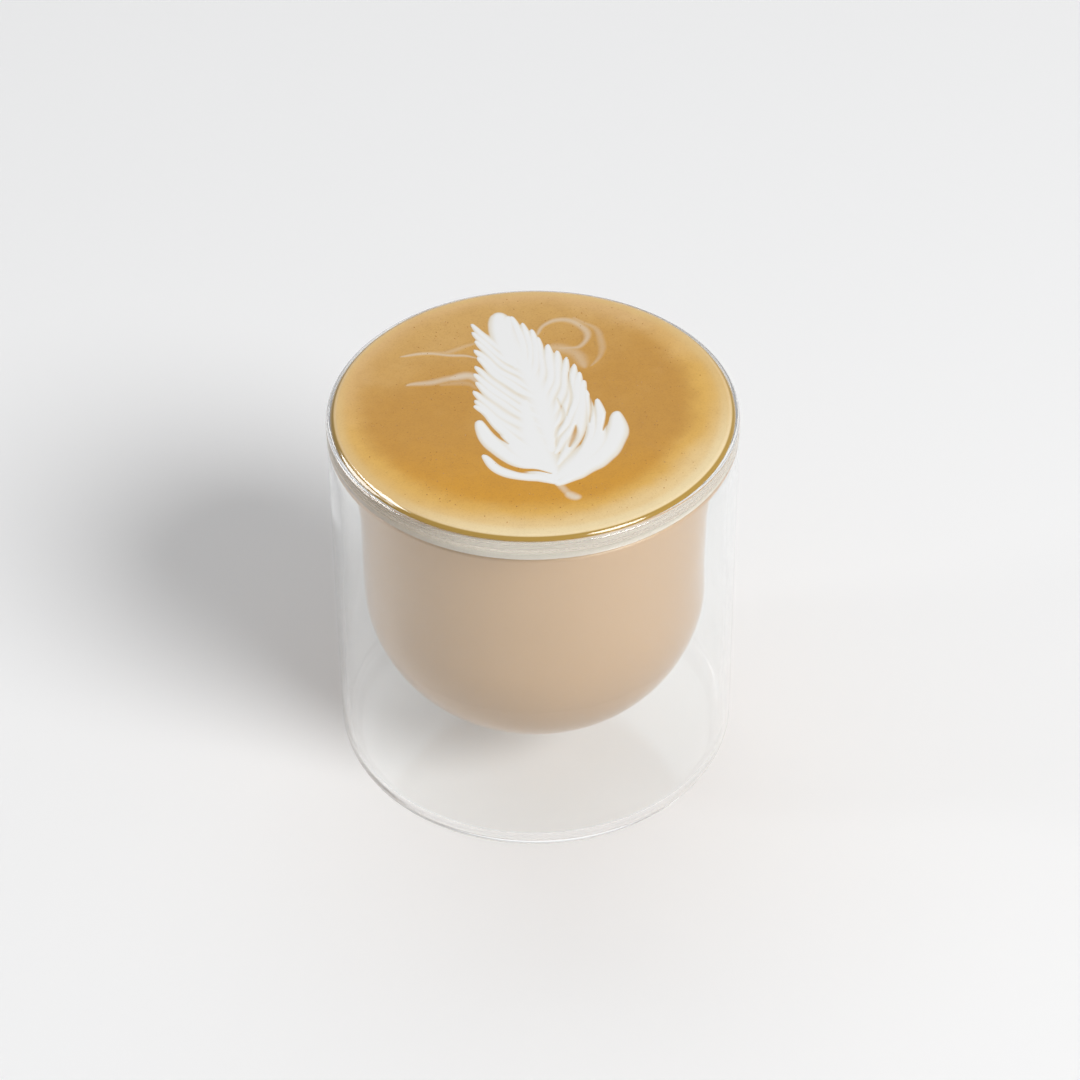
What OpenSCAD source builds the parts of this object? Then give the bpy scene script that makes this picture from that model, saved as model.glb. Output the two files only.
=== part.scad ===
// Milk coffee in a double-walled glass, filled to the lip, with a leaf of white milk foam on top.
// The glass is turned about +Z and stands on z = 0. All sizes are in millimetres.

/* [Glass] */
// Outside diameter of the glass
glass_d = 85; // [76:1:104]
// Height of the lip above the table
glass_h = 86; // [70:1:108]
// Thickness of the outer wall
outer_wall = 1.8; // [1.2:0.1:2.6]
// Thickness of the floor under the air space
floor_t = 2.4; // [1.6:0.1:4]
// Outside radius of the bottom corner
foot_r = 6; // [3:0.5:9]
// Radius of the lip's outer edge
lip_r = 0.75; // [0.5:0.05:0.9]
// Depth of solid glass between the lip's top and the air space
lip_depth = 3.6; // [3:0.1:6]

/* [Inner bowl] */
// Width of the air space beside the bowl
air_gap = 4.2; // [3:0.1:6]
// Thickness of the bowl's wall
bowl_wall = 1.7; // [1.2:0.1:2.4]
// Thickness of the bowl's bottom
bowl_bottom = 2.8; // [1.8:0.1:4]
// Height of the bowl's underside above the table
bowl_lift = 10.5; // [6:0.5:16]
// Distance from the glass's axis to the centre of the bowl's bend
bend_x = 2.5; // [1:0.5:12]
// How much larger the radius of the dome under the bowl is than the bowl's radius
dome_more = 8.5; // [4:0.5:20]

/* [Drink] */
// Depth of the foam layer below the lip
foam_depth = 7.5; // [3:0.5:15]
// How far the drink stands above the lip
crown = 0.8; // [0.3:0.1:1]
// Radius of the drink's rounded edge
brim_r = 1.2; // [1.1:0.1:1.6]
// Width of bare lip outside the drink's edge
lip_show = 1.3; // [0.8:0.1:2]

/* [Milk leaf] */
// Length of the leaf from its foot to its tip
leaf_len = 60; // [30:1:61]
// Greatest width on the leaf's right side
leaf_right = 17.5; // [8:0.5:18]
// Greatest width on the leaf's left side
leaf_left = 13.5; // [8:0.5:16]
// Thickness of the leaf's foam
leaf_t = 0.8; // [0.4:0.1:2]
// Turn of the leaf about the glass's axis, in degrees
leaf_turn = 11.4; // [-180:0.1:180]
// Distance from the glass's axis back to the foot of the leaf
leaf_back = 25.8; // [12:0.1:28]
// Distance from the glass's axis sideways to the foot of the leaf
leaf_side = 0.2; // [-4:0.1:4]
// Number of feathers along each side
feathers = 11; // [3:1:16]
// Depth of the notch between two feathers, as a share of the leaf's width there
notch = 0.16; // [0:0.01:0.35]
// Width of the stem
stem_w = 1.2; // [0.6:0.1:2]
// Radius of the dot that ends the stem
stem_dot_r = 1; // [0.7:0.1:1.5]

/* [Hidden] */
$fn = 96;

// Radii of the glass's surfaces, from the outside inwards.
glass_r = glass_d / 2;
air_r = glass_r - outer_wall;
bowl_r = air_r - air_gap;
drink_r = bowl_r - bowl_wall;

// The bowl's dome, bend and wall are tangent. Inside, each lies a wall or a bottom further in.
dome_r = bowl_r + dome_more;
inner_dome_r = dome_r - bowl_bottom;
drink_z = bowl_lift + bowl_bottom;

// The bowl's mouth flares outwards until it lies level on top of the lip.
lip_x = glass_r - lip_r;
flare_r = lip_x - drink_r;
flare_z = glass_h - flare_r;

// A round arch closes the air space under the lip.
arch_r = air_gap / 2;
arch_z = glass_h - lip_depth - arch_r;

// Levels and edge of the drink.
foam_z = glass_h - foam_depth;
top_z = glass_h + crown;
edge_r = glass_r - lip_show;

// Each side of the leaf is widest at this share of its length, and narrows to the tip by this power.
right_peak = 0.28;
right_taper = 0.75;
left_peak = 0.2;
left_taper = 0.42;

// Power that rounds the leaf off at its foot.
foot_round = 0.9;

// Points along the edge of one feather, and the share of its pitch that the edge takes.
edge_steps = 6;
edge_share = 0.98;

// The stem starts inside the leaf and leans to the right as it runs on past the foot.
stem_start = 1.5;
stem_end = 3.6;
stem_lean = 2;

// Half outline of a bowl whose underside is at height z: dome, bend and straight wall up to top.
module bowl_outline(wall_r, arc_r, z, top) {
    bend_r = wall_r - bend_x;
    arc_z = z + arc_r;
    drop = sqrt(pow(arc_r - bend_r, 2) - pow(bend_x, 2));
    bend_z = arc_z - drop;
    reach = 2 * arc_r / (arc_r - bend_r);
    translate([0, bend_z])
        square([wall_r, top - bend_z]);
    intersection() {
        translate([bend_x, bend_z])
            circle(r = bend_r);
        translate([0, z])
            square([wall_r, bend_z - z]);
    }
    intersection() {
        translate([0, arc_z])
            circle(r = arc_r);
        polygon([[0, arc_z], [bend_x * reach, arc_z - drop * reach], [0, arc_z - 2 * arc_r]]);
    }
}

// Half outline of the glass as if it were solid, with its rounded foot and lip.
module solid_outline() {
    square([glass_r - foot_r, glass_h]);
    translate([0, foot_r])
        square([lip_x, glass_h - foot_r]);
    translate([0, foot_r])
        square([glass_r, glass_h - foot_r - lip_r]);
    translate([glass_r - foot_r, foot_r])
        circle(r = foot_r);
    translate([lip_x, glass_h - lip_r])
        circle(r = lip_r);
}

// Half outline of the sealed air space between the outer wall and the bowl.
module air_outline() {
    corner_r = foot_r - outer_wall;
    difference() {
        union() {
            translate([0, floor_t])
                square([air_r - corner_r, arch_z - floor_t]);
            translate([0, floor_t + corner_r])
                square([air_r, arch_z - floor_t - corner_r]);
            translate([air_r - corner_r, floor_t + corner_r])
                circle(r = corner_r);
        }
        bowl_outline(bowl_r, dome_r, bowl_lift, glass_h);
    }
    translate([bowl_r + arch_r, arch_z])
        circle(r = arch_r);
}

// Half outline of everything the bowl holds up to the lip, with the flare at its mouth.
module fill_outline() {
    bowl_outline(drink_r, inner_dome_r, drink_z, glass_h);
    difference() {
        translate([0, flare_z])
            square([lip_x, flare_r]);
        translate([lip_x, flare_z])
            circle(r = flare_r);
    }
}

// Half outline of the foam layer, which stands a little above the lip and rounds off at its edge.
module foam_outline() {
    intersection() {
        union() {
            fill_outline();
            translate([0, glass_h])
                square([edge_r, crown]);
        }
        union() {
            translate([0, foam_z])
                square([edge_r - brim_r, top_z - foam_z]);
            translate([0, foam_z])
                square([edge_r, top_z - brim_r - foam_z]);
            translate([edge_r - brim_r, top_z - brim_r])
                circle(r = brim_r);
        }
    }
}

module foam_layer() {
    rotate_extrude()
        foam_outline();
}

// Width of one side of the leaf at the share t of its length.
function side_width(t, widest, peak, taper) =
    t < peak
        ? widest * pow(1 - pow(1 - t / peak, 2), foot_round)
        : widest * pow((1 - t) / (1 - peak), taper);

// Edge of one side from foot to tip: each feather swells to its own end, then steps back in.
function side_edge(sign, widest, peak, taper) = [
    for (i = [0:feathers - 1], j = [0:edge_steps - 1])
        let (share = j / (edge_steps - 1))
        let (t = (i + edge_share * share) / feathers)
        let (width = side_width(t, widest, peak, taper) * (1 - notch * (1 - share)))
        [sign * width, leaf_len * t]
];

function reversed(list) = [for (i = [len(list) - 1:-1:0]) list[i]];

module leaf_outline() {
    right_edge = side_edge(1, leaf_right, right_peak, right_taper);
    left_edge = side_edge(-1, leaf_left, left_peak, left_taper);
    polygon(concat(right_edge, [[0, leaf_len]], reversed(left_edge)));
    half_w = stem_w / 2;
    polygon([
        [-half_w, stem_start],
        [stem_lean - half_w, -stem_end],
        [stem_lean + half_w, -stem_end],
        [half_w, stem_start]
    ]);
    translate([stem_lean, -stem_end])
        circle(r = stem_dot_r);
}

// The leaf's full depth of foam, standing a little above the drink so that it cuts cleanly.
module leaf_column() {
    translate([0, 0, top_z - leaf_t])
        rotate(leaf_turn)
            translate([leaf_side, -leaf_back])
                linear_extrude(height = leaf_t + crown)
                    leaf_outline();
}

// Outer wall, floor, lip and hanging bowl are one piece of blown glass.
module glass() {
    color([0.87, 0.91, 0.92, 0.35])
        rotate_extrude()
            difference() {
                solid_outline();
                air_outline();
                fill_outline();
            }
}

module milk_coffee() {
    color([0.78, 0.68, 0.56])
        rotate_extrude()
            intersection() {
                fill_outline();
                square([glass_r, foam_z]);
            }
}

module crema() {
    color([0.80, 0.62, 0.37])
        difference() {
            foam_layer();
            leaf_column();
        }
}

module milk_leaf() {
    color([0.96, 0.95, 0.93])
        intersection() {
            foam_layer();
            leaf_column();
        }
}

glass();
milk_coffee();
crema();
milk_leaf();
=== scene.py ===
import math

import bpy
import numpy as np
from mathutils import Euler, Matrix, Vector


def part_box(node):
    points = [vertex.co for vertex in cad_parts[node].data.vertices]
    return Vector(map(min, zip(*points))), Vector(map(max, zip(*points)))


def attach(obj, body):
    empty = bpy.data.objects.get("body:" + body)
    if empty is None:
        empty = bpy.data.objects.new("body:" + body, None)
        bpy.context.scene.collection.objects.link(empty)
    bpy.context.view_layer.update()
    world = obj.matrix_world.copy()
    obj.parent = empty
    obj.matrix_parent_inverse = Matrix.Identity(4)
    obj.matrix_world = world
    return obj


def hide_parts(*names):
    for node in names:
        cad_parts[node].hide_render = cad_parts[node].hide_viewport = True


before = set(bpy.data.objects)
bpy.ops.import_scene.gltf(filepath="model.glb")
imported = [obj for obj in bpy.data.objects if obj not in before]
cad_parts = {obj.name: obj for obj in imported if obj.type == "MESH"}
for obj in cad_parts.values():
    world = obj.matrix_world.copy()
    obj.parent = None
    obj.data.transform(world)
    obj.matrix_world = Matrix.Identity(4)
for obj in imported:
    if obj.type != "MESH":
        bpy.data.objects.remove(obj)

print("latte: frame loaded")
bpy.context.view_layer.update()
mm = 0.001
weld = 0.002 * mm  # points closer than this become one


# A socket in a node tree. Arithmetic on it adds Math nodes, so masks read as plain expressions.
class Wire:
    def __init__(self, board, socket):
        self.board = board
        self.socket = socket

    def other(self, name):
        return Wire(self.board, self.socket.node.outputs[name])

    def math(self, operation, *values):
        return self.board.node("ShaderNodeMath", {"operation": operation}, dict(enumerate(values)))

    def __add__(self, value):
        return self.math("ADD", self, value)

    def __sub__(self, value):
        return self.math("SUBTRACT", self, value)

    def __mul__(self, value):
        return self.math("MULTIPLY", self, value)

    def __truediv__(self, value):
        return self.math("DIVIDE", self, value)

    def __radd__(self, value):
        return self.math("ADD", value, self)

    def __rsub__(self, value):
        return self.math("SUBTRACT", value, self)

    def __rmul__(self, value):
        return self.math("MULTIPLY", value, self)

    def __rtruediv__(self, value):
        return self.math("DIVIDE", value, self)

    def __pow__(self, value):
        return self.math("POWER", self, value)

    # 0 below low, 1 above high, eased between; low may be the larger of the two
    def ramp(self, low, high):
        settings = {"interpolation_type": "SMOOTHSTEP"}
        if low < high:
            return self.board.node("ShaderNodeMapRange", settings, {0: self, 1: low, 2: high})
        return self.board.node("ShaderNodeMapRange", settings, {0: self, 1: high, 2: low, 3: 1.0, 4: 0.0})


# A node tree with one method that adds any node: its settings first, then its sockets.
class Board:
    def __init__(self, tree):
        self.tree = tree

    def node(self, kind, settings=None, sockets=None, output=0):
        made = self.tree.nodes.new(kind)
        for name, value in (settings or {}).items():
            setattr(made, name, value)
        for key, value in (sockets or {}).items():
            self.plug(made.inputs[key], value)
        return Wire(self, made.outputs[output]) if len(made.outputs) else None

    def plug(self, socket, value):
        if isinstance(value, Wire):
            self.tree.links.new(value.socket, socket)
        elif isinstance(value, (tuple, list)) and len(value) == 3 and socket.type == "RGBA":
            socket.default_value = (*value, 1.0)
        else:
            socket.default_value = value

    def mixColour(self, factor, first, second):
        return self.node("ShaderNodeMix", {"data_type": "RGBA"}, {0: factor, 6: first, 7: second}, output=2)

    def noise(self, place, sizes):
        return self.node("ShaderNodeTexNoise", sockets={"Vector": place, **sizes})


def makeMaterial(name):
    material = bpy.data.materials.new(name)
    material.use_nodes = True
    material.node_tree.nodes.clear()
    return material, Board(material.node_tree)


def finishMaterial(board, shader):
    board.node("ShaderNodeOutputMaterial", sockets={"Surface": shader})


def objectPlace(board):
    return board.node("ShaderNodeTexCoord", output="Object")


def shown(red, green, blue):
    # a colour as the eye sees it, in 0 to 255, turned into the linear values shaders take
    parts = [value / 255 for value in (red, green, blue)]
    return tuple(v / 12.92 if v <= 0.04045 else ((v + 0.055) / 1.055) ** 2.4 for v in parts)


# the camera looks down at the glass from the front
view = {
    "aim": (1.2 * mm, 0.0, 51.5 * mm),
    "pitch": 40.0,
    "roll": -0.6,
    "distance": 740 * mm,
    "lens": 116.7,
    "nearest": 0.05,
    "farthest": 20,
}


def makeCamera():
    data = bpy.data.cameras.new("camera")
    camera = bpy.data.objects.new("camera", data)
    bpy.context.scene.collection.objects.link(camera)
    pitch = math.radians(view["pitch"])
    towards = Vector((0, math.cos(pitch), -math.sin(pitch)))
    camera.location = Vector(view["aim"]) - towards * view["distance"]
    turn = Euler((math.radians(90) - pitch, 0, 0)).to_matrix()
    roll = Euler((0, 0, math.radians(view["roll"]))).to_matrix()
    camera.rotation_euler = (turn @ roll).to_euler()
    data.lens = view["lens"]
    data.clip_start = view["nearest"]
    data.clip_end = view["farthest"]
    bpy.context.scene.camera = camera


# a mirrored lamp shows only as a reflection in the glass and the wet rim
lamps = {
    "key": {"from": (1.22, -1.05, 1.5), "size": 1.0, "power": 38.5},
    "side": {"from": (-1.4, -0.1, 0.98), "size": 0.24, "power": 1.6},
    "back": {"from": (-0.1, 1.6, 1.5), "size": 2.4, "power": 10.0},
    "window": {"from": (-1.78, 0.5, 0.85), "size": 1.1, "power": 30.0, "mirrored": True},
    "spark": {"from": (-1.17, 0.71, 1.82), "size": 1.5, "tall": 0.4, "power": 26.0, "mirrored": True},
}
lampAim = (0, 0, 50 * mm)
worldLight = {"colour": shown(246, 247, 249), "strength": 0.365}


def makeLights():
    aim = Vector(lampAim)
    for name, lamp in lamps.items():
        data = bpy.data.lights.new(name, "AREA")
        data.shape = "RECTANGLE" if "tall" in lamp else "DISK"
        data.size = lamp["size"]
        data.size_y = lamp.get("tall", lamp["size"])
        data.energy = lamp["power"]
        light = bpy.data.objects.new(name, data)
        light.location = lamp["from"]
        light.rotation_euler = (aim - light.location).to_track_quat("-Z", "Y").to_euler()
        if lamp.get("mirrored"):
            light.visible_diffuse = False
            light.visible_transmission = False
        bpy.context.scene.collection.objects.link(light)
    world = bpy.data.worlds.new("studio")
    world.use_nodes = True
    background = world.node_tree.nodes["Background"]
    background.inputs["Color"].default_value = (*worldLight["colour"], 1.0)
    background.inputs["Strength"].default_value = worldLight["strength"]
    bpy.context.scene.world = world


paleTable = {
    "light": shown(240, 240, 240),
    "dark": shown(236, 236, 236),
    "cloud": {"Scale": 3.0, "Detail": 3.0},
    "cloudShare": 0.5,
    "roughness": 0.7,
    "half": 2.0,
    "height": -0.05 * mm,
}


def makeFloor():
    material, board = makeMaterial("paleTable")
    cloud = board.noise(objectPlace(board), paleTable["cloud"])
    colour = board.mixColour(cloud * paleTable["cloudShare"], paleTable["light"], paleTable["dark"])
    shader = board.node(
        "ShaderNodeBsdfPrincipled", sockets={"Base Color": colour, "Roughness": paleTable["roughness"]}
    )
    finishMaterial(board, shader)
    half, height = paleTable["half"], paleTable["height"]
    corners = [(-half, -half, height), (half, -half, height), (half, half, height), (-half, half, height)]
    mesh = bpy.data.meshes.new("table")
    mesh.from_pydata(corners, [], [(0, 1, 2, 3)])
    mesh.materials.append(material)
    table = bpy.data.objects.new("table", mesh)
    bpy.context.scene.collection.objects.link(table)


# the glass, with the sizes that what fills it shares
glassLow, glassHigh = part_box("glass")
glass = {
    "outerWall": 1.8 * mm,
    "floor": 2.4 * mm,
    "footRadius": 6 * mm,
    "lipRadius": 0.75 * mm,
    "lipDepth": 3.6 * mm,  # from the lip down to the air space
    "airWidth": 4.2 * mm,
    "bowlWall": 1.7 * mm,
    "bowlBottom": 2.8 * mm,
    "bowlLift": 10.5 * mm,
    "bendOffset": 2.5 * mm,  # the bend between wall and dome turns about a point this far from the axis
    "domeMore": 8.5 * mm,  # the curve of the bottom has a radius this much larger than the bowl's
    "segments": 224,
    "skinDrift": {"Wander": 0.05 * mm, "Wander scale": 22.0, "Seed": 3.0},
    "airDrift": {"Wander": 0.35 * mm, "Wander scale": 26.0, "Seed": 8.0},
    "tint": (0.985, 0.992, 0.99),
    "straightTint": (0.993, 0.995, 0.995),
    "roughness": 0.0,
    "index": 1.47,
    "turns": 7.5,  # bounces after which a ray caught in the glass leaves it
}
outerRadius = round((glassHigh.x - glassLow.x) / 2, 4)
lipTop = glassHigh.z
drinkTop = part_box("crema")[1].z
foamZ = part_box("milk_coffee")[1].z  # where the drink ends and the foam begins
airRadius = outerRadius - glass["outerWall"]
bowlRadius = airRadius - glass["airWidth"]
drinkRadius = bowlRadius - glass["bowlWall"]
domeRadius = bowlRadius + glass["domeMore"]
lipX = outerRadius - glass["lipRadius"]
flareRadius = lipX - drinkRadius
flareZ = lipTop - flareRadius

# how many points each stretch of an outline gets
steps = {
    "floor": 10,
    "foot": 16,
    "outerWall": 26,
    "lip": 9,
    "flare": 46,
    "bowlWall": 12,
    "bend": 40,
    "dome": 13,
    "airCorner": 14,
    "airWall": 24,
    "airArch": 50,
    "foamUnder": 6,
    "foamFlare": 20,
    "foamBrim": 10,
}


def arc(centre, radius, start, end, count):
    # points on an arc in the (radius, height) plane, from start to end in degrees
    angles = np.radians(np.linspace(start, end, count))
    return [(centre[0] + radius * math.cos(a), centre[1] + radius * math.sin(a)) for a in angles]


def bowlCurve(wallRadius, arcRadius, bottom, top):
    # from the wall's top down over the bend and the dome to the axis
    run = glass["bendOffset"]
    bendRadius = wallRadius - run
    drop = math.sqrt((arcRadius - bendRadius) ** 2 - run ** 2)
    bend = (run, bottom + arcRadius - drop)
    lean = math.degrees(math.atan2(-drop, run))
    wall = [(wallRadius, z) for z in np.linspace(top, bend[1], steps["bowlWall"])[:-1]]
    bendPoints = arc(bend, bendRadius, 0, lean, steps["bend"])[:-1]
    domePoints = arc((0, bottom + arcRadius), arcRadius, lean, -90, steps["dome"])
    return wall + bendPoints + domePoints


def glassOutline():
    foot, lip = glass["footRadius"], glass["lipRadius"]
    points = [(r, 0) for r in np.linspace(0, outerRadius - foot, steps["floor"])[:-1]]
    points += arc((outerRadius - foot, foot), foot, -90, 0, steps["foot"])
    points += [(outerRadius, z) for z in np.linspace(foot, lipTop - lip, steps["outerWall"])[1:-1]]
    points += arc((lipX, lipTop - lip), lip, 0, 90, steps["lip"])
    points += arc((lipX, flareZ), flareRadius, 90, 180, steps["flare"])[1:-1]
    innerDome = domeRadius - glass["bowlBottom"]
    points += bowlCurve(drinkRadius, innerDome, glass["bowlLift"] + glass["bowlBottom"], flareZ)
    return points


def airOutline():
    floor, corner = glass["floor"], glass["footRadius"] - glass["outerWall"]
    archRadius = glass["airWidth"] / 2
    archZ = lipTop - glass["lipDepth"] - archRadius
    points = [(r, floor) for r in np.linspace(0, airRadius - corner, steps["floor"])[:-1]]
    points += arc((airRadius - corner, floor + corner), corner, -90, 0, steps["airCorner"])
    points += [(airRadius, z) for z in np.linspace(floor + corner, archZ, steps["airWall"])[1:-1]]
    points += arc((bowlRadius + archRadius, archZ), archRadius, 0, 180, steps["airArch"])[:-1]
    points += bowlCurve(bowlRadius, domeRadius, glass["bowlLift"], archZ)
    return points


def newTree(name, inputs):
    # a tree with named inputs, each given as its kind and the value it starts with
    tree = bpy.data.node_groups.new(name, "GeometryNodeTree")
    face = tree.interface
    face.new_socket("Geometry", in_out="INPUT", socket_type="NodeSocketGeometry")
    for title, (kind, value) in inputs.items():
        face.new_socket(title, in_out="INPUT", socket_type="NodeSocket" + kind).default_value = value
    face.new_socket("Material", in_out="INPUT", socket_type="NodeSocketMaterial")
    face.new_socket("Geometry", in_out="OUTPUT", socket_type="NodeSocketGeometry")
    board = Board(tree)
    return tree, board, board.node("NodeGroupInput")


def endTree(board, given, shape):
    # copies are made real before they get their material
    real = board.node("GeometryNodeRealizeInstances", sockets={"Geometry": shape})
    painted = board.node(
        "GeometryNodeSetMaterial", sockets={"Geometry": real, "Material": given.other("Material")}
    )
    board.node("NodeGroupOutput", sockets={"Geometry": painted})


latheStart = {
    "Segments": ("Int", 128),
    "Wander": ("Float", 0.0),
    "Wander scale": ("Float", 30.0),
    "Seed": ("Float", 1.0),
    "Faces outwards": ("Bool", True),
}
axisStill = 10 * mm  # the wander fades out this near the axis


# The lathe turns a row of points into a closed surface and lets it wander a little, as blown glass does.
def latheTree():
    tree, board, given = newTree("lathe", latheStart)
    segments = given.other("Segments")
    rows = board.node("GeometryNodeAttributeDomainSize", sockets={"Geometry": given})
    sheet = board.node("GeometryNodeMeshGrid", sockets={"Vertices X": rows, "Vertices Y": segments})
    index = board.node("GeometryNodeInputIndex")
    row = index.math("FLOOR", index / segments)
    column = index - row * segments
    angle = column * (2 * math.pi) / (segments - 1)
    profile = board.node(
        "GeometryNodeSampleIndex",
        {"data_type": "FLOAT_VECTOR"},
        {"Geometry": given, "Value": board.node("GeometryNodeInputPosition"), "Index": row},
    )
    radius = board.node("ShaderNodeSeparateXYZ", sockets={0: profile})
    height = radius.other("Z")
    across, along = angle.math("COSINE", angle), angle.math("SINE", angle)
    ring = board.node("ShaderNodeCombineXYZ", sockets={0: across * radius, 1: along * radius, 2: height})
    noise = board.node(
        "ShaderNodeTexNoise",
        {"noise_dimensions": "4D"},
        {"Vector": ring, "W": given.other("Seed"), "Scale": given.other("Wander scale"), "Detail": 1.0},
    )
    wide = radius + (noise - 0.5) * given.other("Wander") * radius.ramp(0.0, axisStill)
    point = board.node("ShaderNodeCombineXYZ", sockets={0: across * wide, 1: along * wide, 2: height})
    shaped = board.node("GeometryNodeSetPosition", sockets={"Geometry": sheet, "Position": point})
    welded = board.node("GeometryNodeMergeByDistance", sockets={"Geometry": shaped, "Distance": weld})
    turned = board.node(
        "GeometryNodeFlipFaces", sockets={"Mesh": welded, "Selection": given.other("Faces outwards")}
    )
    endTree(board, given, board.node("GeometryNodeSetShadeSmooth", sockets={"Geometry": turned}))
    return tree


def runTree(source, tree, inputs, name):
    # runs a tree on a source object and keeps the result as a plain mesh
    modifier = source.modifiers.new("shape", "NODES")
    modifier.node_group = tree
    sockets = {s.name: s.identifier for s in tree.interface.items_tree if s.in_out == "INPUT"}
    for key, value in inputs.items():
        modifier[sockets[key]] = value
    graph = bpy.context.evaluated_depsgraph_get()
    graph.update()
    mesh = bpy.data.meshes.new_from_object(source.evaluated_get(graph), depsgraph=graph)
    source.modifiers.clear()
    bpy.data.objects.remove(source)
    mesh.name = name
    made = bpy.data.objects.new(name, mesh)
    bpy.context.scene.collection.objects.link(made)
    return made


noDrift = {"Wander": 0.0, "Wander scale": 30.0, "Seed": 1.0}


def turnOnLathe(name, points, material, segments, drift=noDrift, outwards=True):
    mesh = bpy.data.meshes.new(name + "Outline")
    edges = [(i, i + 1) for i in range(len(points) - 1)]
    mesh.from_pydata([(r, 0, z) for r, z in points], edges, [])
    source = bpy.data.objects.new(name + "Outline", mesh)
    bpy.context.scene.collection.objects.link(source)
    inputs = {"Segments": segments + 1, "Faces outwards": outwards, "Material": material, **drift}
    return runTree(source, lathe, inputs, name)


lathe = latheTree()
print("latte: lathe ready")


def clearGlass():
    material, board = makeMaterial("clearGlass")
    body = board.node(
        "ShaderNodeBsdfPrincipled",
        sockets={
            "Base Color": glass["tint"],
            "Roughness": glass["roughness"],
            "IOR": glass["index"],
            "Transmission Weight": 1.0,
        },
    )
    # lamps and soft light pass straight through, so the drink and the table are lit behind the walls,
    # and a ray caught between the walls leaves after a few turns instead of going dark
    light = board.node("ShaderNodeLightPath", output="Is Shadow Ray")
    caught = light.math("GREATER_THAN", light.other("Ray Depth"), glass["turns"])
    through = light.math("MAXIMUM", light.math("MAXIMUM", light, light.other("Is Diffuse Ray")), caught)
    clear = board.node("ShaderNodeBsdfTransparent", sockets={"Color": glass["straightTint"]})
    finishMaterial(board, board.node("ShaderNodeMixShader", sockets={0: through, 1: body, 2: clear}))
    return material


def joinMeshes(name, parts):
    bpy.ops.object.select_all(action="DESELECT")
    for part in parts:
        part.select_set(True)
    bpy.context.view_layer.objects.active = parts[0]
    bpy.ops.object.join()
    joined = bpy.context.view_layer.objects.active
    joined.name = name
    joined.data.name = name
    return joined


def makeGlass():
    material, segments = clearGlass(), glass["segments"]
    skin = turnOnLathe("glassSkin", glassOutline(), material, segments, glass["skinDrift"])
    air = turnOnLathe("glassAir", airOutline(), material, segments, glass["airDrift"], outwards=False)
    made = joinMeshes("blownGlass", [skin, air])
    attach(made, "root")
    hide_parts("glass")


milkCoffee = {
    "upper": shown(199, 166, 129),
    "lower": shown(190, 157, 121),
    "lowerFade": (66 * mm, 22 * mm),  # heights where the lower colour starts and is full
    "cloud": {"Scale": 45.0, "Detail": 3.0},
    "cloudReach": 30 * mm,
    "roughness": 0.35,
    "segments": 192,
    "topEdge": 1 * mm,
}
overlap = 0.12 * mm  # how far the drink reaches into the glass, so that no air shows between them


def milkCoffeeMaterial():
    # an even blend, a touch deeper towards the bottom, with the faintest clouds left by the milk
    material, board = makeMaterial("milkCoffee")
    place = objectPlace(board)
    height = board.node("ShaderNodeSeparateXYZ", sockets={0: place}).other("Z")
    cloud = board.noise(place, milkCoffee["cloud"])
    deep = (height + (cloud - 0.5) * milkCoffee["cloudReach"]).ramp(*milkCoffee["lowerFade"])
    colour = board.mixColour(deep, milkCoffee["upper"], milkCoffee["lower"])
    shader = board.node(
        "ShaderNodeBsdfPrincipled", sockets={"Base Color": colour, "Roughness": milkCoffee["roughness"]}
    )
    finishMaterial(board, shader)
    return material


def makeMilkCoffee():
    reach, top = drinkRadius + overlap, foamZ + overlap
    inner = domeRadius - glass["bowlBottom"] + overlap
    bottom = glass["bowlLift"] + glass["bowlBottom"] - overlap
    points = [(0, top), (reach - milkCoffee["topEdge"], top)] + bowlCurve(reach, inner, bottom, top)
    points.reverse()
    made = turnOnLathe("milkCoffee", points, milkCoffeeMaterial(), milkCoffee["segments"])
    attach(made, "root")
    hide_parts("milk_coffee")


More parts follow.
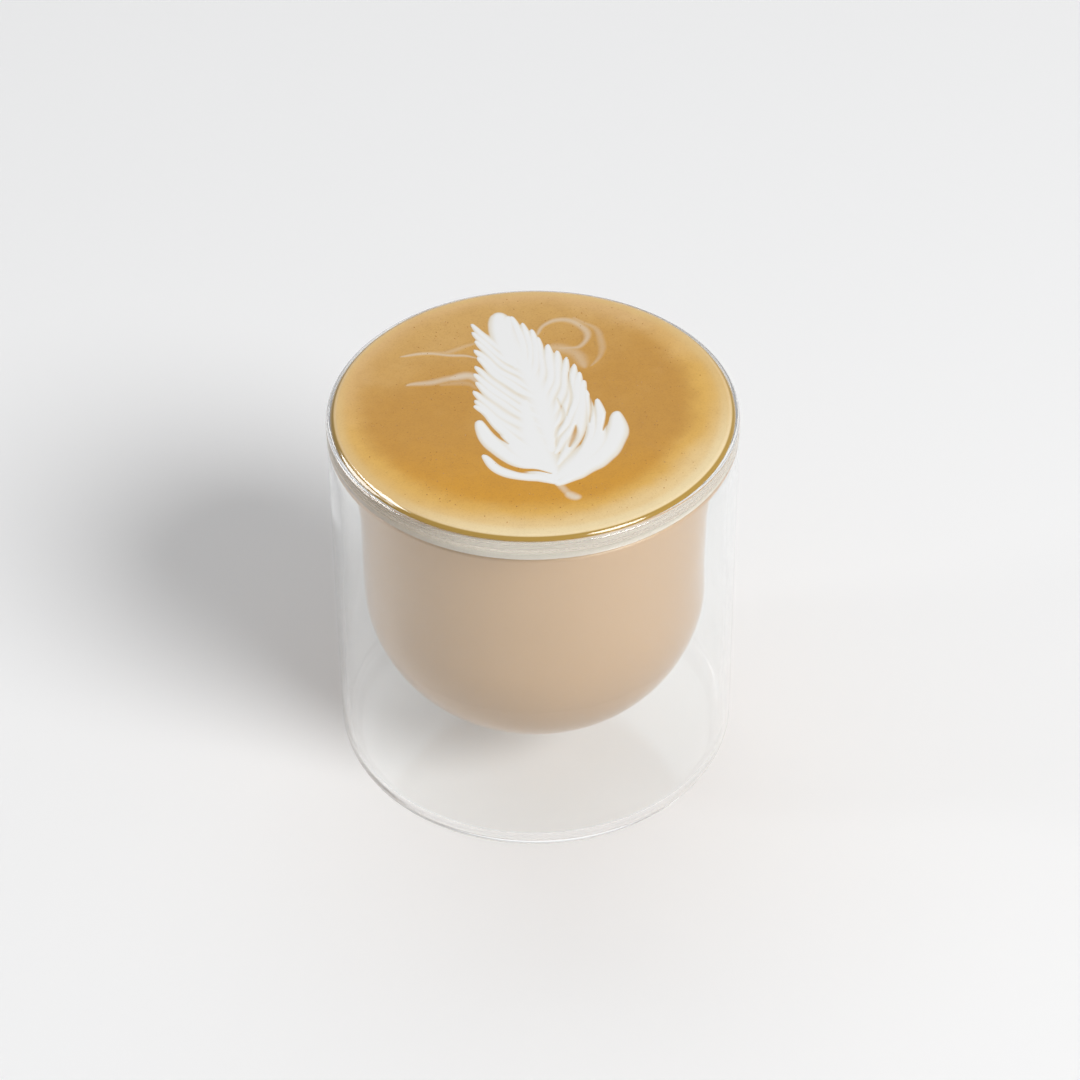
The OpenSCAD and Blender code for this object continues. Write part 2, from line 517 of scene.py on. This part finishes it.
# the golden foam: a fade is where a colour starts and where it is full
crema = {
    "brimRadius": 1.6 * mm,
    "lipShow": 0.75 * mm,  # the glass that is left to see round the foam
    "segments": 360,
    "rings": 70,
    "deepGold": shown(193, 142, 60),
    "frontGold": shown(204, 146, 40),
    "backGold": shown(205, 162, 92),
    "honey": shown(217, 171, 84),
    "backHoney": shown(213, 173, 114),
    "cream": shown(218, 184, 122),
    "paleCream": shown(233, 212, 166),
    # partly the wet coffee's own deeper colour, partly painted shade on the steep edge of the brim
    "edgeOlive": shown(170, 136, 62),
    "wallFoam": shown(242, 234, 220),
    # painted shade: a greyer foam colour for the left of the band seen through the glass
    "wallPaintedShade": shown(182, 168, 150),
    "speck": shown(150, 98, 42),
    "glow": shown(228, 190, 130),
    "cloud": {"Scale": 90.0, "Detail": 4.0},
    "blotch": {"Scale": 260.0, "Detail": 5.0, "Roughness": 0.65},
    "grain": {"Scale": 2600.0, "Detail": 3.0},
    "thinSide": (0.46, -0.89),  # the way to the front right, where the pale ring is widest
    "backSide": (-0.34, 0.94),  # the way to the back left
    "ringLean": 0.09,
    "ringCloud": 5 * mm,
    "backCloud": 20 * mm,
    "frontFade": (-4 * mm, -30 * mm),
    "backFade": (5 * mm, 34 * mm),
    "backHoneyFade": (-6 * mm, 28 * mm),
    "paleFade": (10 * mm, 34 * mm),
    "ringFade": (29.5 * mm, 41.5 * mm),
    "edgeFade": (37.5 * mm, 40.5 * mm),
    "edgeShare": 0.3,
    "honeyFade": (0.0, 0.45),
    "creamFade": (0.35, 0.95),
    "blotchFade": (0.35, 0.75),
    "blotchShare": 0.12,
    "grainFade": (0.45, 0.75),
    "grainShare": 0.2,
    "ringClean": 0.6,
    "glowFade": (0.5, 0.8),
    "glowShare": 0.16,
    "oliveFade": (40.7 * mm, 41.0 * mm),
    "wallFade": (1.0 * mm, 1.5 * mm),  # depths below the top of the foam
    "wallPaintedShadeFade": (-4 * mm, -32 * mm),
    "wetFade": (40.15 * mm, 40.4 * mm),
    "roughness": 0.42,
    "wetRoughness": 0.14,
    "coatRoughness": 0.04,
    "specular": 0.22,
    "bumpStrength": 0.5,
    "bumpDepth": 0.05 * mm,
    "bumpGrain": 0.3,
}


def foamPlace(board):
    # where a point of the foam lies: the place itself, its x, y and z, and how far it is from the axis
    place = objectPlace(board)
    x = board.node("ShaderNodeSeparateXYZ", sockets={0: place})
    y = x.other("Y")
    return place, x, y, x.other("Z"), (x * x + y * y) ** 0.5


def cremaColour(board, place, x, y, radius):
    # gold in the middle, paling to a cream ring that is widest where the drink thins at the front right
    cloud = board.noise(place, crema["cloud"])
    blotch = board.noise(place, crema["blotch"])
    grain = board.noise(place, crema["grain"])
    sideways = x * crema["thinSide"][0] + y * crema["thinSide"][1]
    lean = radius + sideways * crema["ringLean"] + (cloud - 0.5) * crema["ringCloud"]
    away = x * crema["backSide"][0] + y * crema["backSide"][1] + (cloud - 0.5) * crema["backCloud"]
    gold = board.mixColour(y.ramp(*crema["frontFade"]), crema["deepGold"], crema["frontGold"])
    gold = board.mixColour(away.ramp(*crema["backFade"]), gold, crema["backGold"])
    honey = board.mixColour(away.ramp(*crema["backHoneyFade"]), crema["honey"], crema["backHoney"])
    pale = board.mixColour(sideways.ramp(*crema["paleFade"]), crema["cream"], crema["paleCream"])
    ring = lean.ramp(*crema["ringFade"]) * (1 - crema["edgeShare"])
    ring = ring + radius.ramp(*crema["edgeFade"]) * crema["edgeShare"]
    colour = board.mixColour(ring.ramp(*crema["honeyFade"]), gold, honey)
    colour = board.mixColour(ring.ramp(*crema["creamFade"]), colour, pale)
    spots = blotch.ramp(*crema["blotchFade"]) * crema["blotchShare"]
    spots = spots + grain.ramp(*crema["grainFade"]) * crema["grainShare"]
    colour = board.mixColour(spots * (1 - ring * crema["ringClean"]), colour, crema["speck"])
    glow = cloud.ramp(*crema["glowFade"]) * crema["glowShare"] * (1 - ring)
    return board.mixColour(glow, colour, crema["glow"]), blotch, grain


def foamBump(board, blotch, grain):
    height = blotch * (1 - crema["bumpGrain"]) + grain * crema["bumpGrain"]
    sizes = {"Strength": crema["bumpStrength"], "Distance": crema["bumpDepth"]}
    return board.node("ShaderNodeBump", sockets={**sizes, "Height": height})


def cremaMaterial():
    material, board = makeMaterial("crema")
    place, x, y, z, radius = foamPlace(board)
    colour, blotch, grain = cremaColour(board, place, x, y, radius)
    # the olive line round the brim: partly the wet coffee's own deeper colour, partly painted shade on its
    # steep edge
    colour = board.mixColour(radius.ramp(*crema["oliveFade"]), colour, crema["edgeOlive"])
    wall = z.ramp(*(drinkTop - depth for depth in crema["wallFade"]))
    # painted shade: the foam against the glass turns greyer towards the left, standing in for the dim side
    # of the room that the glass shows there
    side = board.mixColour(x.ramp(*crema["wallPaintedShadeFade"]), crema["wallFoam"], crema["wallPaintedShade"])
    colour = board.mixColour(wall, colour, side)
    wet = radius.ramp(*crema["wetFade"]) * (1 - wall)
    dry = (1 - wet) * (1 - wall)
    shader = board.node(
        "ShaderNodeBsdfPrincipled",
        sockets={
            "Base Color": colour,
            "Roughness": crema["roughness"] - wet * (crema["roughness"] - crema["wetRoughness"]),
            "Specular IOR Level": crema["specular"],
            "Coat Weight": wet,
            "Coat Roughness": crema["coatRoughness"],
            "Normal": foamBump(board, blotch * dry, grain * dry),
        },
    )
    finishMaterial(board, shader)
    return material


def circlesMeet(centre, radius, other, otherRadius):
    # the outer of the two points where the circles cross
    dx, dz = other[0] - centre[0], other[1] - centre[1]
    apart = math.hypot(dx, dz)
    along = (radius ** 2 - otherRadius ** 2 + apart ** 2) / (2 * apart)
    side = math.sqrt(radius ** 2 - along ** 2)
    return (centre[0] + (dx * along - dz * side) / apart, centre[1] + (dz * along + dx * side) / apart)


def makeCrema():
    brim = crema["brimRadius"]
    centre = (outerRadius - crema["lipShow"] - brim, drinkTop - brim)
    points = [(0, foamZ)]
    points += [(r, foamZ) for r in np.linspace(0, drinkRadius + overlap, steps["foamUnder"])[1:]]
    flare, sunk = (lipX, flareZ), flareRadius - overlap
    x, z = circlesMeet(centre, brim, flare, sunk)
    flareEnd = math.degrees(math.atan2(z - flare[1], x - flare[0]))
    brimStart = math.degrees(math.atan2(z - centre[1], x - centre[0]))
    points += arc(flare, sunk, 180, flareEnd, steps["foamFlare"])
    points += arc(centre, brim, brimStart, 90, steps["foamBrim"])[1:]
    points += [(r, drinkTop) for r in np.linspace(centre[0], 0, crema["rings"])[1:]]
    made = turnOnLathe("goldenCrema", points, cremaMaterial(), crema["segments"])
    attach(made, "root")
    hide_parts("crema")


# the milk leaf, drawn as overlapping strokes of milk, in millimetres seen from above
leaf = {
    "spine": [(5.3, -25.3), (4.4, -16), (2.2, -2), (-1.8, 14), (-6.2, 30.5)],
    "leftEdge": [(-13.0, 28.6), (-11.9, 22), (-11.9, 12), (-11.6, 3)],
    "rightEdge": [(-4.2, 31.2), (-0.4, 27), (3.2, 21.4), (7, 17), (9.2, 12.6), (10.8, 6)],
    "corners": ((-15.05, -31), (21, 36)),
    "spacing": 0.24,
    "relief": 0.13 * mm,
    "sunk": 0.01 * mm,
    "depth": 0.3 * mm,
    "leastLift": 0.02,  # thinner milk than this is left out
    "coverFade": (0.17, 0.5),  # milk so thick starts to hide the gold, and hides it
    "acrossDrift": (6, 0.35, 3),  # wave length, amount and seed of the strokes' wobble
    "alongDrift": (5, 0.35, 4),
}
# two rows of feathers run from the spine to the edges; a pair of values is for the top and the bottom one
feathers = {
    "left": {
        "edge": "leftEdge",
        "count": 10,
        "drop": (13, 17),
        "width": (1.25, 1.75),
        "sag": -0.8,
        "root": -0.3,
    },
    "right": {
        "edge": "rightEdge",
        "count": 11,
        "drop": (17, 25),
        "width": (1.35, 1.6),
        "sag": 1.3,
        "root": 0.3,
    },
}
featherShape = {
    "seed": 7,
    "tipStray": 0.35,
    "lowestRoot": -22,
    "topSag": 0.7,
    "moreSag": 0.6,
    "dip": -0.4,
    "widthShare": (0.9, 1.1),
    "taper": (0.5, 0.3, 0.18),
    "white": (0.86, 1),
}
# each petal: its middle line from root to tip, half its width, the shares that taper at tip and root,
# how blunt the tip is and how white it is
petals = [
    ([(4.5, -21), (0, -18.9), (-5, -15.6), (-8.8, -10.2), (-11.2, -4.2)], 2.5, 0.5, 0.2, 0.25, 1.0),
    ([(5.2, -24.4), (1, -22.6), (-3.6, -22), (-7.4, -19.6), (-10, -15.4)], 1.5, 0.4, 0.2, 0.3, 1.0),
    ([(3, -17), (-2, -12.5), (-6.6, -6.5), (-9, -2), (-12, 0.9)], 1.9, 0.5, 0.2, 0.12, 1.0),
    ([(5.2, -24.4), (9.3, -20.6), (14.2, -15.4), (17, -8.6), (17, -1.9)], 2.9, 0.4, 0.3, 0.2, 1.0),
    ([(5.2, -22), (9.6, -16.5), (13, -10), (13.9, -4), (13.3, 3)], 1.9, 0.6, 0.2, 0.12, 1.0),
    ([(5.2, -22), (9, -16.5), (11.4, -10), (12, -4), (11, 5.6)], 1.5, 0.6, 0.2, 0.12, 0.95),
    ([(5, -22.5), (8.6, -18.5), (12.5, -13), (14, -8)], 4.2, 0.7, 0.4, 0.2, 0.93),
    ([(4.4, -23), (1, -18), (-2.5, -14), (-5.5, -9)], 4.6, 0.6, 0.3, 0.3, 0.95),
    ([(4.2, -21), (1.5, -15), (-0.5, -8), (-1.5, 2)], 4.6, 0.7, 0.3, 0.3, 0.93),
    ([(3.5, -14), (2.6, -4), (0.4, 8), (-3.8, 21), (-6.2, 30)], 5.2, 0.9, 0.3, 0.4, 0.9),
    ([(-4.6, 16), (-6.4, 24), (-7.0, 31.6)], 3.2, 0.5, 0.5, 0.6, 0.97),
    ([(-3.6, 14), (-4.6, 22), (-5.2, 31.0)], 2.2, 0.5, 0.5, 0.5, 0.93),
    ([(5.2, -24.2), (5.7, -25.6), (6.7, -27.2), (8.4, -28.8)], 1.6, 0.2, 0.1, 1.0, 0.34),
    ([(6.9, -27.6), (7.8, -28.5), (8.6, -28.9)], 2.0, 0.5, 0.5, 0.8, 0.4),
]
# slim gaps where the gold shows between strokes: middle line, half width, depth
gaps = [
    ([(5.2, 3), (6.2, -2), (5, -8), (4.6, -13)], 0.65, 0.4),
    ([(8.7, -6), (8.4, -9.5), (7.4, -13)], 0.9, 0.66),
    ([(11.7, 4), (11.9, -1), (11.5, -5)], 0.5, 0.6),
    ([(15.2, -1.5), (14.9, -5), (14.3, -8)], 0.6, 0.7),
    ([(-9.6, -14.4), (-5.4, -18.9), (0, -20.4), (4, -21.3)], 0.6, 0.85),
    ([(-11.3, -1.4), (-9.4, -5), (-7.6, -8.6), (-5, -12)], 0.6, 0.7),
    ([(7.6, 12), (7.9, 4), (7, -3)], 0.45, 0.45),
]
# faint trails of milk that the pouring left in the gold: middle line, half width, how white it is
wisps = [
    ([(-11.5, 17.5), (-15.5, 18.1), (-19.5, 18.7), (-23.5, 18.5), (-27.6, 17.8)], 0.75, 0.42),
    ([(-12, 21.9), (-15, 20.6), (-18.5, 19.4), (-23, 18.6)], 1.1, 0.26),
    ([(-10.6, 7.8), (-13.2, 10.2), (-16.5, 10.6), (-20.5, 9.2), (-26, 7.6)], 1.4, 0.42),
    ([(-10.8, 9.6), (-13.4, 10.8), (-17, 10.6)], 1.8, 0.5),
    ([(-11.6, 6.6), (-13.4, 8.2), (-16, 8.8), (-19, 8.2)], 1.2, 0.24),
    ([(0.8, 25), (2.6, 28.6), (6.5, 30.2), (10.2, 28.2), (11.6, 24), (9.8, 20.8), (6, 20)], 1.15, 0.38),
    ([(9, 30.6), (12.8, 27.4), (14.6, 22.6), (13.8, 17.4), (12.2, 14.2)], 1.05, 0.27),
    ([(2.2, 20.4), (5.8, 20.2), (9, 18.2), (10.8, 13.8)], 2.4, 0.3),
]
# how the trails are laid: like the leaf, but thinner and softer
thinTrail = {
    "corners": ((-32, 2), (20, 38)),
    "spacing": 0.3,
    "relief": 0.05 * mm,
    "sunk": 0.005 * mm,
    "depth": 0.3 * mm,
    "leastLift": 0.02,
    "coverFade": (0.0, 0.9),
    "acrossDrift": (9, 0.6, 5),
    "alongDrift": (7, 0.6, 6),
    "widthShare": 1.4,
    "taper": (0.7, 0.7, 0.15),
    "bareEdge": 0.22,  # the outer part of a trail that holds no milk
    "falloff": 1.4,
    "strength": 1.5,
}
# how the milk looks where it is thick and where it is thin; the thin colour is partly painted shade in the
# creases between strokes
milk = {
    "thick": shown(232, 232, 231),
    "thin": shown(223, 216, 202),
    "thinMilkAndCreaseShadeFade": (0.92, 0.45),
    "blotchShare": 0.12,
    "softEdge": 0.1,
}
brush = {
    "stepsBetween": 12,  # points from one given point to the next
    "rootWidth": 0.4,  # a share of the stroke's full width
    "shortest": 1e-9,  # keeps a step of no length from being divided by
}
waves = {"count": 5, "spread": (0.6, 1.6)}  # a wobble's waves, and their lengths as shares of its size


def smoothLine(points):
    # a smooth run through the given points
    given = np.array(points, float)
    ends = np.vstack([2 * given[0] - given[1], given, 2 * given[-1] - given[-2]])
    share = np.linspace(0, 1, brush["stepsBetween"], endpoint=False)[:, None]
    runs = []
    for a, b, c, d in zip(ends[:-3], ends[1:-2], ends[2:-1], ends[3:]):
        bend = (2 * a - 5 * b + 4 * c - d) * share ** 2 + (3 * b - a - 3 * c + d) * share ** 3
        runs.append(0.5 * (2 * b + (c - a) * share + bend))
    return np.vstack(runs + [given[-1:]])


def shareOfLine(line, share):
    lengths = np.hypot(*np.diff(line, axis=0).T)
    run = np.concatenate([[0], np.cumsum(lengths)]) / lengths.sum()
    return np.array([np.interp(share, run, line[:, 0]), np.interp(share, run, line[:, 1])])


def strokeField(x, y, points, width, tipShare=0.5, rootShare=0.4, blunt=0.1, white=1.0):
    # 1 on the stroke's middle line, falling to 0 at its edge
    line = smoothLine(points)
    moves = np.diff(line, axis=0)
    lengths = np.hypot(moves[:, 0], moves[:, 1])
    run = np.concatenate([[0], np.cumsum(lengths)]) / lengths.sum()
    field = np.zeros_like(x)
    low, high = line.min(axis=0) - width, line.max(axis=0) + width
    near = (x > low[0]) & (x < high[0]) & (y > low[1]) & (y < high[1])
    px, py = x[near], y[near]
    best = np.zeros_like(px)
    thinRoot = brush["rootWidth"]
    for start, move, length, begin, end in zip(line, moves, lengths, run, run[1:]):
        dx, dy = px - start[0], py - start[1]
        share = np.clip((dx * move[0] + dy * move[1]) / max(length ** 2, brush["shortest"]), 0, 1)
        away = np.hypot(dx - share * move[0], dy - share * move[1])
        place = begin + share * (end - begin)
        tip = np.clip((1 - place) / tipShare, 0, 1)
        root = np.clip(place / rootShare, 0, 1)
        wide = blunt + (1 - blunt) * np.sqrt(tip * (2 - tip))
        wide = wide * (thinRoot + (1 - thinRoot) * root * (2 - root))
        best = np.maximum(best, 1 - (away / (width * wide)) ** 2)
    field[near] = best * white
    return field


def wobble(x, y, size, amount, seed):
    # slow, even drift from a few waves, so that no stroke is perfectly smooth
    random = np.random.default_rng(seed)
    drift = np.zeros_like(x)
    for turn in range(waves["count"]):
        heading, phase = random.uniform(0, 2 * math.pi, 2)
        wave = size * random.uniform(*waves["spread"])
        drift += np.sin((x * math.cos(heading) + y * math.sin(heading)) * 2 * math.pi / wave + phase)
    return drift * amount / waves["count"]


def featherStrokes():
    shape = featherShape
    random = np.random.default_rng(shape["seed"])
    spine = smoothLine(leaf["spine"])
    strokes = []
    for row in feathers.values():
        edge = smoothLine(leaf[row["edge"]])
        for number in range(row["count"]):
            share = number / (row["count"] - 1)
            tip = shareOfLine(edge, share) + random.uniform(-shape["tipStray"], shape["tipStray"], 2)
            rootY = max(tip[1] - np.interp(share, (0, 1), row["drop"]), shape["lowestRoot"])
            root = np.array([np.interp(rootY, spine[:, 1], spine[:, 0]) + row["root"], rootY])
            sag = row["sag"] * (shape["topSag"] + shape["moreSag"] * share)
            middle = (root + tip) / 2 + (sag, shape["dip"])
            width = np.interp(share, (0, 1), row["width"]) * random.uniform(*shape["widthShare"])
            strokes.append(([root, middle, tip], width, *shape["taper"], random.uniform(*shape["white"])))
    return strokes


def leafField(x, y):
    x = x + wobble(x, y, *leaf["acrossDrift"])
    y = y + wobble(x, y, *leaf["alongDrift"])
    field = np.zeros_like(x)
    for stroke in featherStrokes() + petals:
        field = np.maximum(field, strokeField(x, y, *stroke))
    for points, width, depth in gaps:
        field = field * (1 - depth * strokeField(x, y, points, width))
    return field


def leafFields(x, y):
    # the leaf rises as high as it is white
    field = leafField(x, y)
    return field, field


def wispFields(x, y):
    # how far each trail rises, and how white it is
    x = x + wobble(x, y, *thinTrail["acrossDrift"])
    y = y + wobble(x, y, *thinTrail["alongDrift"])
    lift, white = np.zeros_like(x), np.zeros_like(x)
    for points, width, strength in wisps:
        trail = strokeField(x, y, points, width * thinTrail["widthShare"], *thinTrail["taper"])
        core = np.clip(trail - thinTrail["bareEdge"], 0, 1) ** thinTrail["falloff"]
        lift = np.maximum(lift, trail)
        white = np.maximum(white, core * strength * thinTrail["strength"])
    return lift, white


patchStart = {
    "Least lift": ("Float", 0.02),
    "Depth": ("Float", 0.3 * mm),
    "Relief": ("Float", 0.2 * mm),
}


def patchTree():
    # keeps the faces that hold milk, gives them a closed underside and lifts the top by its relief
    tree, board, given = newTree("milkPatch", patchStart)
    lift = board.node("GeometryNodeInputNamedAttribute", {"data_type": "FLOAT"}, {"Name": "lift"})
    bare = lift.math("LESS_THAN", lift, given.other("Least lift"))
    kept = board.node(
        "GeometryNodeDeleteGeometry", {"domain": "FACE"}, {"Geometry": given, "Selection": bare}
    )
    up = board.node("ShaderNodeCombineXYZ", sockets={2: given.other("Depth")})
    raised = board.node(
        "GeometryNodeExtrudeMesh", {"mode": "FACES"}, {"Mesh": kept, "Offset": up, "Individual": False}
    )
    relief = board.node("ShaderNodeCombineXYZ", sockets={2: lift.ramp(0.0, 1.0) * given.other("Relief")})
    top, side = raised.other("Top"), raised.other("Side")
    shaped = board.node(
        "GeometryNodeSetPosition", sockets={"Geometry": raised, "Selection": top, "Offset": relief}
    )
    smooth = board.node("GeometryNodeSetShadeSmooth", sockets={"Geometry": shaped, "Selection": top})
    sides = board.node(
        "GeometryNodeSetShadeSmooth",
        sockets={"Geometry": smooth, "Selection": side, "Shade Smooth": False},
    )
    under = board.node("GeometryNodeFlipFaces", sockets={"Mesh": kept})
    joined = board.node("GeometryNodeJoinGeometry", sockets={"Geometry": sides})
    board.plug(joined.socket.node.inputs["Geometry"], under)
    welded = board.node("GeometryNodeMergeByDistance", sockets={"Geometry": joined, "Distance": weld})
    endTree(board, given, welded)
    return tree


def flatSheet(name, corners, spacing, height, fields, keys=("lift", "milk")):
    # a level grid in millimetres, with each field's values stored on its points
    low, high = corners
    xs = np.arange(low[0], high[0], spacing)
    ys = np.arange(low[1], high[1], spacing)
    x, y = (part.ravel() for part in np.meshgrid(xs, ys))
    points = np.column_stack([x * mm, y * mm, np.full_like(x, height)])
    first = (np.arange(len(ys) - 1)[:, None] * len(xs) + np.arange(len(xs) - 1)).ravel()
    faces = np.column_stack([first, first + 1, first + len(xs) + 1, first + len(xs)])
    mesh = bpy.data.meshes.new(name)
    mesh.from_pydata(points.tolist(), [], faces.tolist())
    for key, values in zip(keys, fields(x, y)):
        mesh.attributes.new(key, "FLOAT", "POINT").data.foreach_set("value", values.astype("f"))
    sheet = bpy.data.objects.new(name, mesh)
    bpy.context.scene.collection.objects.link(sheet)
    return sheet


def milkMaterial(name, coverFade):
    # white where the milk is thick, letting the gold through where it thins out
    material, board = makeMaterial(name)
    place, x, y, z, radius = foamPlace(board)
    colour, blotch, grain = cremaColour(board, place, x, y, radius)
    thickness = board.node("ShaderNodeAttribute", {"attribute_name": "milk"}, output="Fac")
    # partly the thin milk's creamier colour, partly painted shade darkening the creases between strokes
    white = board.mixColour(thickness.ramp(*milk["thinMilkAndCreaseShadeFade"]), milk["thick"], milk["thin"])
    cover = (thickness + (blotch - 0.5) * milk["blotchShare"]).ramp(*coverFade)
    cover = cover * thickness.ramp(coverFade[0], coverFade[0] + milk["softEdge"])
    shader = board.node(
        "ShaderNodeBsdfPrincipled",
        sockets={
            "Base Color": board.mixColour(cover, colour, white),
            "Roughness": crema["roughness"],
            "Specular IOR Level": crema["specular"],
            "Normal": foamBump(board, blotch, grain),
        },
    )
    finishMaterial(board, shader)
    return material


milkPatch = patchTree()


def pourMilk(name, shape, fields, materialName):
    height = drinkTop - shape["sunk"] - shape["depth"]
    sheet = flatSheet(name + "Sheet", shape["corners"], shape["spacing"], height, fields)
    inputs = {
        "Least lift": shape["leastLift"],
        "Depth": shape["depth"],
        "Relief": shape["relief"],
        "Material": milkMaterial(materialName, shape["coverFade"]),
    }
    return runTree(sheet, milkPatch, inputs, name)


def makeLeaf():
    made = pourMilk("milkLeaf", leaf, leafFields, "whiteMilk")
    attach(made, "root")
    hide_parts("milk_leaf")


def makeWisps():
    made = pourMilk("milkWisps", thinTrail, wispFields, "thinMilk")
    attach(made, "root")


bubbles = {
    "number": 900000.0,  # to a square metre, before the spacing thins them
    "apart": 0.32 * mm,
    "small": 0.045 * mm,
    "large": 0.15 * mm,
    "smallBias": 3.0,  # the higher, the more of them are small
    "sunk": 0.35,  # how far their middles lie under the foam's top, as a share of the smallest
    "seed": 12,
    "ball": {"Segments": 8, "Rings": 5, "Radius": 1.0},
    "dark": shown(166, 118, 56),
    # painted highlight: a lighter gold that some bubbles take, as if catching the light
    "pale": shown(190, 142, 76),
    "cloud": {"Scale": 500.0},
    "paleFade": (0.35, 0.65),
    "roughness": 0.25,
    "corners": ((-41, -41), (41, 41)),
    "spacing": 1.0,
    "reach": 39,  # none lie farther out than this, and they thin out over the last stretch
    "thinOut": 4,
    "often": 0.55,
    "clusterDrift": (14, 1.4, 21),
    "leastOften": 0.15,
    "milkClears": 6,  # how soon milk clears them away
}
bubbleStart = {
    "Number": ("Float", 0.0),
    "Apart": ("Float", 0.0),
    "Smallest": ("Float", 0.0),
    "Largest": ("Float", 0.0),
    "Seed": ("Int", 0),
}


def bubbleTree():
    tree, board, given = newTree("bubbles", bubbleStart)
    room = board.node("GeometryNodeInputNamedAttribute", {"data_type": "FLOAT"}, {"Name": "room"})
    spots = board.node(
        "GeometryNodeDistributePointsOnFaces",
        {"distribute_method": "POISSON"},
        {
            "Mesh": given,
            "Distance Min": given.other("Apart"),
            "Density Max": given.other("Number"),
            "Density Factor": room,
            "Seed": given.other("Seed"),
        },
    )
    ball = board.node("GeometryNodeMeshUVSphere", sockets=bubbles["ball"])
    smooth = board.node("GeometryNodeSetShadeSmooth", sockets={"Geometry": ball})
    chance = board.node(
        "FunctionNodeRandomValue",
        {"data_type": "FLOAT"},
        {2: 0.0, 3: 1.0, "Seed": given.other("Seed")},
        output=1,
    )
    smallest, largest = given.other("Smallest"), given.other("Largest")
    size = smallest + (largest - smallest) * chance ** bubbles["smallBias"]
    placed = board.node(
        "GeometryNodeInstanceOnPoints", sockets={"Points": spots, "Instance": smooth, "Scale": size}
    )
    endTree(board, given, placed)
    return tree


def roomForBubbles(x, y):
    inside = np.clip((bubbles["reach"] - np.hypot(x, y)) / bubbles["thinOut"], 0, 1)
    cluster = np.clip(bubbles["often"] + wobble(x, y, *bubbles["clusterDrift"]), bubbles["leastOften"], 1)
    return (np.clip(1 - leafField(x, y) * bubbles["milkClears"], 0, 1) * inside * cluster,)


def bubbleMaterial():
    material, board = makeMaterial("bubbleSkin")
    cloud = board.noise(objectPlace(board), bubbles["cloud"])
    # painted highlight: a noise cloud picks the bubbles that are painted lighter, as if catching the light
    colour = board.mixColour(cloud.ramp(*bubbles["paleFade"]), bubbles["dark"], bubbles["pale"])
    shader = board.node(
        "ShaderNodeBsdfPrincipled", sockets={"Base Color": colour, "Roughness": bubbles["roughness"]}
    )
    finishMaterial(board, shader)
    return material


def makeBubbles():
    height = drinkTop - bubbles["small"] * bubbles["sunk"]
    corners, spacing = bubbles["corners"], bubbles["spacing"]
    sheet = flatSheet("bubbleSheet", corners, spacing, height, roomForBubbles, ("room",))
    inputs = {
        "Number": bubbles["number"],
        "Apart": bubbles["apart"],
        "Smallest": bubbles["small"],
        "Largest": bubbles["large"],
        "Seed": bubbles["seed"],
        "Material": bubbleMaterial(),
    }
    made = runTree(sheet, bubbleTree(), inputs, "foamBubbles")
    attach(made, "root")
    pointsEach = bubbles["ball"]["Segments"] * (bubbles["ball"]["Rings"] - 1) + 2
    print("latte: bubbles", len(made.data.vertices) // pointsEach)


scene = bpy.context.scene
scene.view_settings.view_transform = "Standard"
scene.cycles.max_bounces = 40
scene.cycles.transmission_bounces = 32
scene.cycles.glossy_bounces = 32
scene.cycles.sample_clamp_indirect = 2.5
scene.cycles.transparent_max_bounces = 32
scene.cycles.caustics_refractive = False
scene.cycles.caustics_reflective = False
makeCamera()
makeLights()
makeFloor()
print("latte: studio ready")
makeGlass()
print("latte: glass ready")
makeMilkCoffee()
makeCrema()
print("latte: drink ready")
makeLeaf()
makeWisps()
print("latte: milk leaf ready")
makeBubbles()
